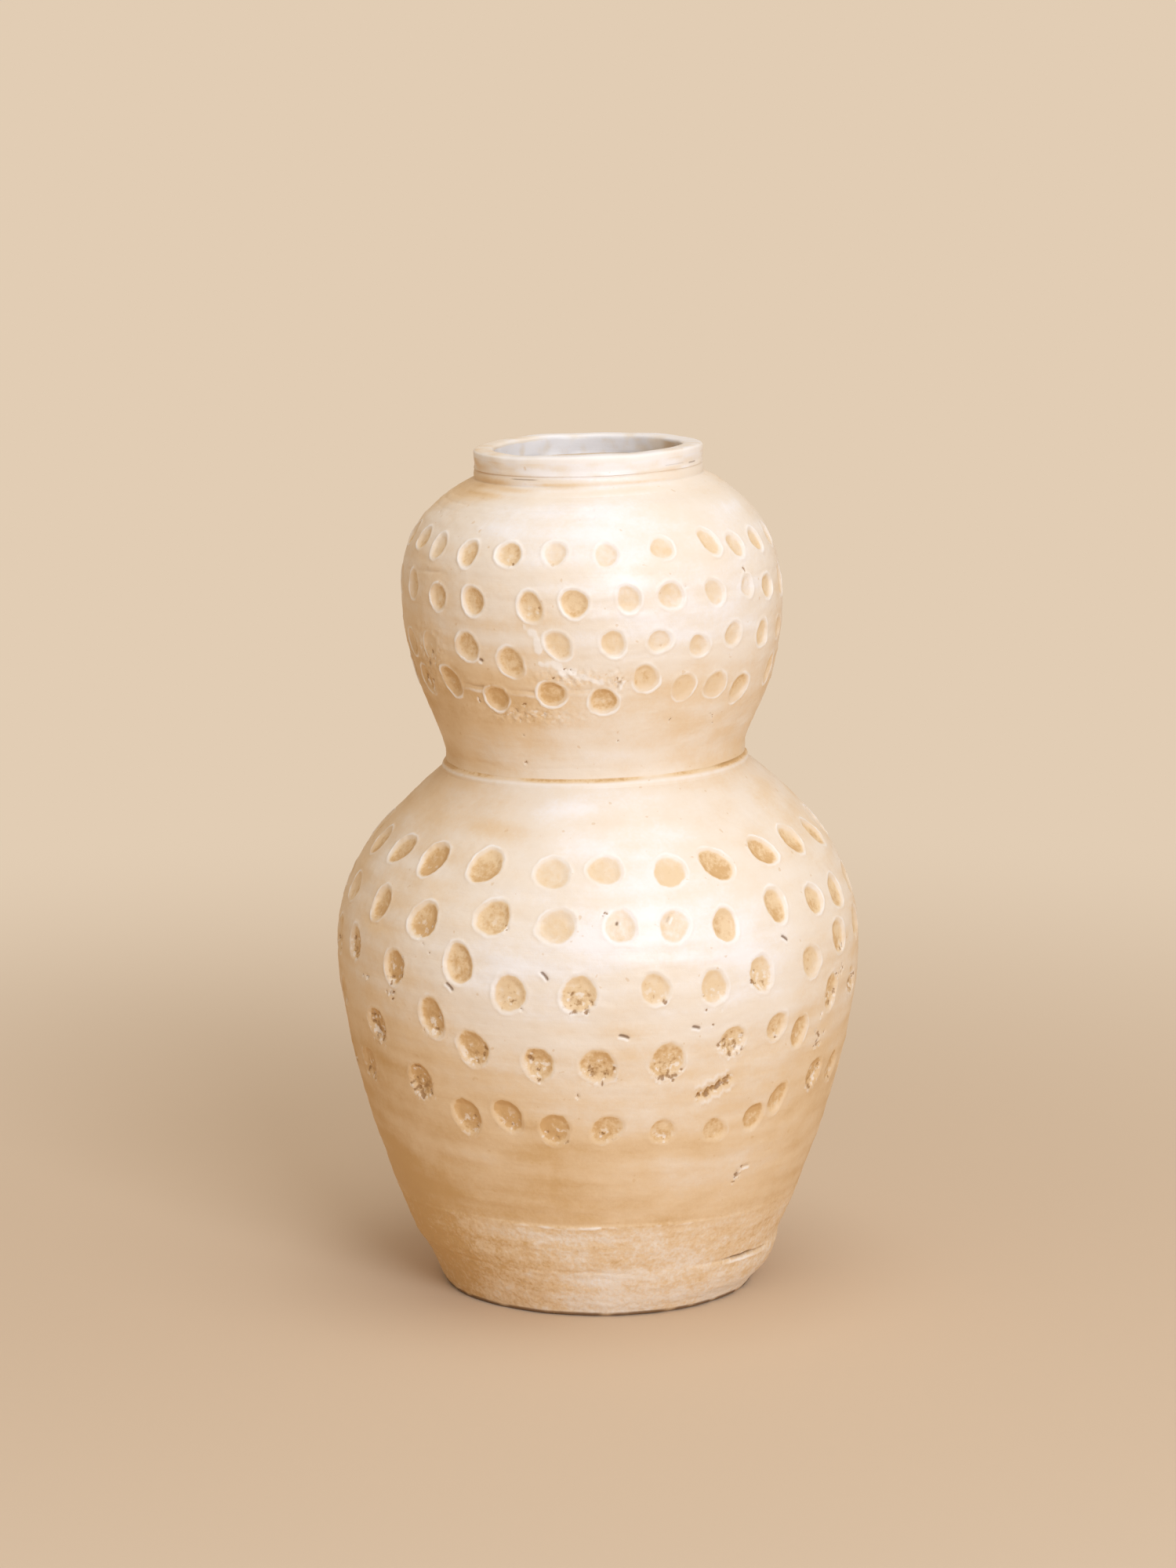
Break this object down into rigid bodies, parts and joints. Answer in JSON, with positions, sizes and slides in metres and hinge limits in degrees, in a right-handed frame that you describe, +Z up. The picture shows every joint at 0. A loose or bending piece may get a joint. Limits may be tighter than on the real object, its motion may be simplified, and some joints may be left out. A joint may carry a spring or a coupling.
{
  "type": "double gourd vase",
  "caption": "Coil-built terracotta vase with a wide belly, a drawn-in waist, a smaller bulb and a short collar, whitewashed and pressed with courses of thumb marks.",
  "frame": {"origin": "on the surface that the vase stands on, under the middle of its foot", "axes": "+Z up through the mouth, -Y towards the front that the picture shows, +X to the right of that front"},
  "size_m": [0.2598, 0.2598, 0.4217],
  "materials": {
    "bare_foot": "rough fired clay with a thin, rubbed wash",
    "belly_wash": "matt cream wash over terracotta, tan in the presses",
    "luting_clay": "matt wash, thin along the joint",
    "bulb_wash": "matt cream wash over terracotta, tan in the presses",
    "collar_wash": "matt, near-white wash"
  },
  "bodies": {
    "root": {"base_dish": "bare_foot", "foot_coil": "bare_foot", "lower_belly_coil": "belly_wash", "belly_course_1": "belly_wash", "belly_course_2": "belly_wash", "belly_course_3": "belly_wash", "belly_course_4": "belly_wash", "belly_course_5": "belly_wash", "shoulder_coil": "belly_wash", "waist_coil": "luting_clay", "lower_bulb_coil": "bulb_wash", "bulb_course_1": "bulb_wash", "bulb_course_2": "bulb_wash", "bulb_course_3": "bulb_wash", "bulb_course_4": "bulb_wash", "neck_coil": "bulb_wash", "collar_luting_coil": "luting_clay", "collar": "collar_wash"}
  },
  "joints": []
}
